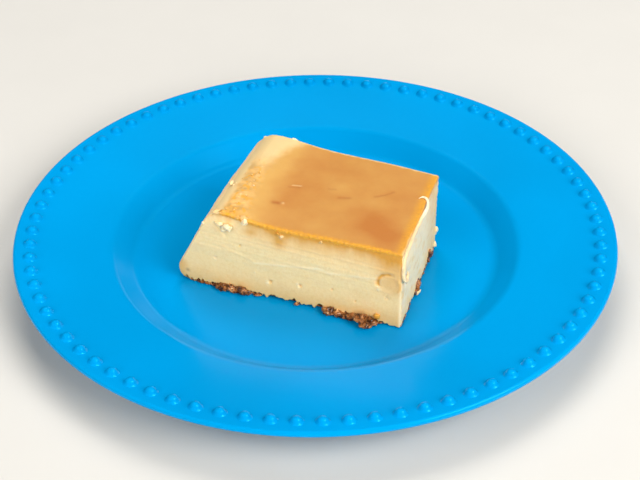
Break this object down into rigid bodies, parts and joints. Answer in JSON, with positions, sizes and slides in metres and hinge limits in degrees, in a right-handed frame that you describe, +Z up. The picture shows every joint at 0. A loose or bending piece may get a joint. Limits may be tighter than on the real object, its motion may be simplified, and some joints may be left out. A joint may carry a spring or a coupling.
{
  "type": "creme caramel flan on plate",
  "caption": "Hand-cut slice of creme caramel flan with a glossy caramel top and a browned base, served on a round blue plastic plate with a beaded rim.",
  "frame": {"origin": "centre of the plate on the surface it stands on", "axes": "+Z up; the slice's widest cut face looks towards -Y and its rounded pan side towards -X"},
  "size_m": [0.266, 0.266, 0.0453],
  "materials": {
    "plate_plastic": "glossy moulded blue plastic",
    "custard": null,
    "caramel": null
  },
  "bodies": {
    "root": {"plate": "plate_plastic", "custard": "custard", "caramel_layer": "caramel"}
  },
  "joints": []
}
